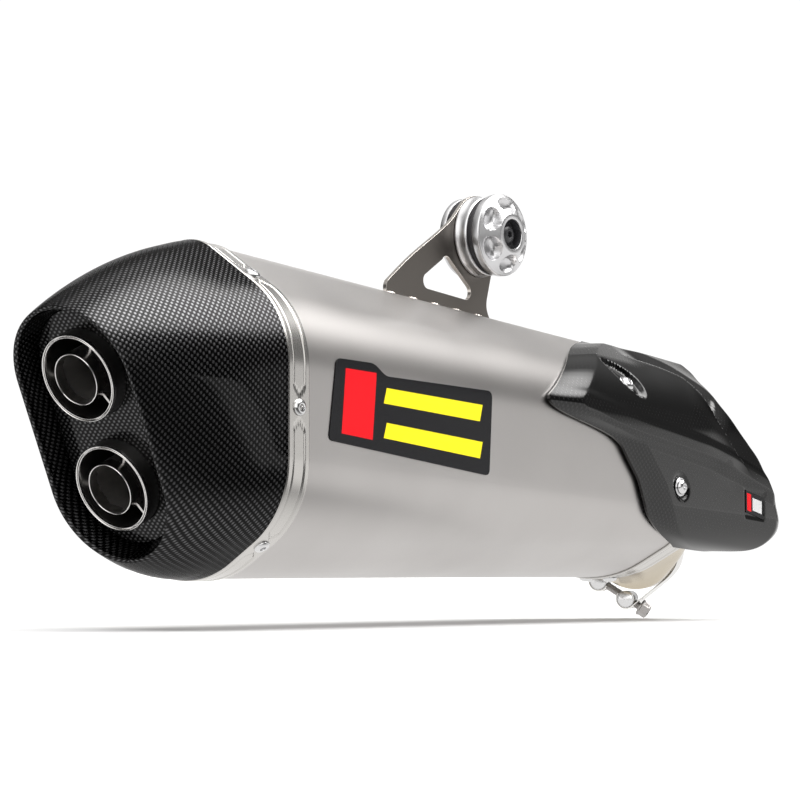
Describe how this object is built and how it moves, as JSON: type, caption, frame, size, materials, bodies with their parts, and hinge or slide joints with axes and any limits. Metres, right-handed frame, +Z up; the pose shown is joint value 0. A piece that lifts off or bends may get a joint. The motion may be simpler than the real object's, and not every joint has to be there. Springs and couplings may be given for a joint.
{
  "type": "racing exhaust silencer",
  "caption": "Tapered titanium motorcycle silencer with carbon end cap, stacked outlet tips, rubber-bushed hanger, carbon heat shield and inlet clamp.",
  "frame": {"origin": "centre of the hanger bush, in the middle plane of the bracket sheet", "axes": "+X from the outlets towards the inlet, +Y along the hanger bolt away from its head, +Z up"},
  "size_m": [0.6688, 0.1788, 0.2938],
  "materials": {
    "titanium": "satin titanium sheet, bead-blasted",
    "strap_steel": "bright stamped stainless strap",
    "rivet_steel": "polished stainless",
    "carbon": "clear-coated plain-weave carbon laminate",
    "tip_steel": "dark polished stainless with bright lips",
    "inner_steel": "dull stainless",
    "packing": "basalt and glass wool",
    "aluminium": "milled, clear anodised",
    "rubber": "black moulded elastomer",
    "black_steel": "black oxide",
    "label": "black printed foil with plain colour blocks"
  },
  "bodies": {
    "silencer": {"outer_sleeve": "titanium", "end_cap": "carbon", "end_cap_panel": "carbon", "outlet_strap": "strap_steel", "inlet_strap": "strap_steel", "outlet_rivet_1": "rivet_steel", "outlet_rivet_2": "rivet_steel", "outlet_rivet_3": "rivet_steel", "outlet_rivet_4": "rivet_steel", "outlet_rivet_5": "rivet_steel", "outlet_rivet_6": "rivet_steel", "inlet_rivet_1": "rivet_steel", "inlet_rivet_2": "rivet_steel", "inlet_rivet_3": "rivet_steel", "inlet_rivet_4": "rivet_steel", "inlet_rivet_5": "rivet_steel", "inlet_rivet_6": "rivet_steel", "tip_sleeve_upper": "tip_steel", "tip_sleeve_lower": "tip_steel", "tip_core_upper": "tip_steel", "tip_core_lower": "tip_steel", "outlet_pipe_upper": "inner_steel", "outlet_pipe_lower": "inner_steel", "outlet_plate": "inner_steel", "middle_baffle": "inner_steel", "perforated_core": "inner_steel", "packing": "packing", "inlet_cap": "titanium", "inlet_tube": "titanium", "hanger_bracket": "titanium", "bush_collar": "aluminium", "bush_rubber_front": "rubber", "bush_rubber_rear": "rubber", "heat_shield": "carbon", "shield_boss_upper": "titanium", "shield_boss_lower": "titanium", "shield_washer_upper": "rivet_steel", "shield_washer_lower": "rivet_steel", "shield_screw_upper": "rivet_steel", "shield_screw_lower": "rivet_steel", "side_label": "label", "shield_badge": "label"},
    "bush_hub": {"bush_spacer": "aluminium", "bush_disc_front": "aluminium", "bush_disc_rear": "aluminium"},
    "hanger_bolt": {"hanger_bolt": "black_steel"},
    "clamp_band": {"clamp_band": "strap_steel", "clamp_liner": "strap_steel"},
    "clamp_jaw": {"clamp_jaw": "strap_steel"},
    "near_barrel": {"clamp_barrel_near": "rivet_steel"},
    "far_barrel": {"clamp_barrel_far": "rivet_steel"},
    "clamp_screw": {"clamp_screw": "rivet_steel"}
  },
  "joints": [
    {"name": "bush_twist", "type": "hinge", "parent": "silencer", "child": "bush_hub", "pos_m": [0, 0, 0], "axis": [0, 1, 0], "range_deg": [-8, 8], "stiffness_Nm_per_rad": 0.8},
    {"name": "hanger_bolt_spin", "type": "hinge", "parent": "bush_hub", "child": "hanger_bolt", "pos_m": [0, 0, 0], "axis": [0, 1, 0], "continuous": true},
    {"name": "clamp_swivel", "type": "hinge", "parent": "silencer", "child": "clamp_band", "pos_m": [0.205, 0.003, -0.2135], "axis": [0.9135, 0.4067, 0], "range_deg": [-12, 12]},
    {"name": "clamp_screw_turn", "type": "hinge", "parent": "near_barrel", "child": "clamp_screw", "pos_m": [0.20102, 0.01193, -0.2511], "axis": [0.3419, -0.7679, -0.5417], "range_deg": [0, 1800]},
    {"name": "clamp_open", "type": "hinge", "parent": "clamp_band", "child": "clamp_jaw", "pos_m": [0.21168, -0.012, -0.18803], "axis": [0.9135, 0.4067, 0], "range_deg": [0, 4.3]},
    {"name": "near_barrel_swivel", "type": "hinge", "parent": "clamp_band", "child": "near_barrel", "pos_m": [0.20102, 0.01193, -0.2511], "axis": [0.9135, 0.4067, 0], "range_deg": [0, 2.15]},
    {"name": "far_barrel_swivel", "type": "hinge", "parent": "clamp_jaw", "child": "far_barrel", "pos_m": [0.19272, 0.03059, -0.23794], "axis": [0.9135, 0.4067, 0], "range_deg": [-2.15, 0]}
  ],
  "couplings": [
    {"joint": "clamp_open", "follows": "clamp_screw_turn", "ratio": 0.0023889},
    {"joint": "near_barrel_swivel", "follows": "clamp_screw_turn", "ratio": 0.0011944},
    {"joint": "far_barrel_swivel", "follows": "clamp_screw_turn", "ratio": -0.0011944}
  ]
}
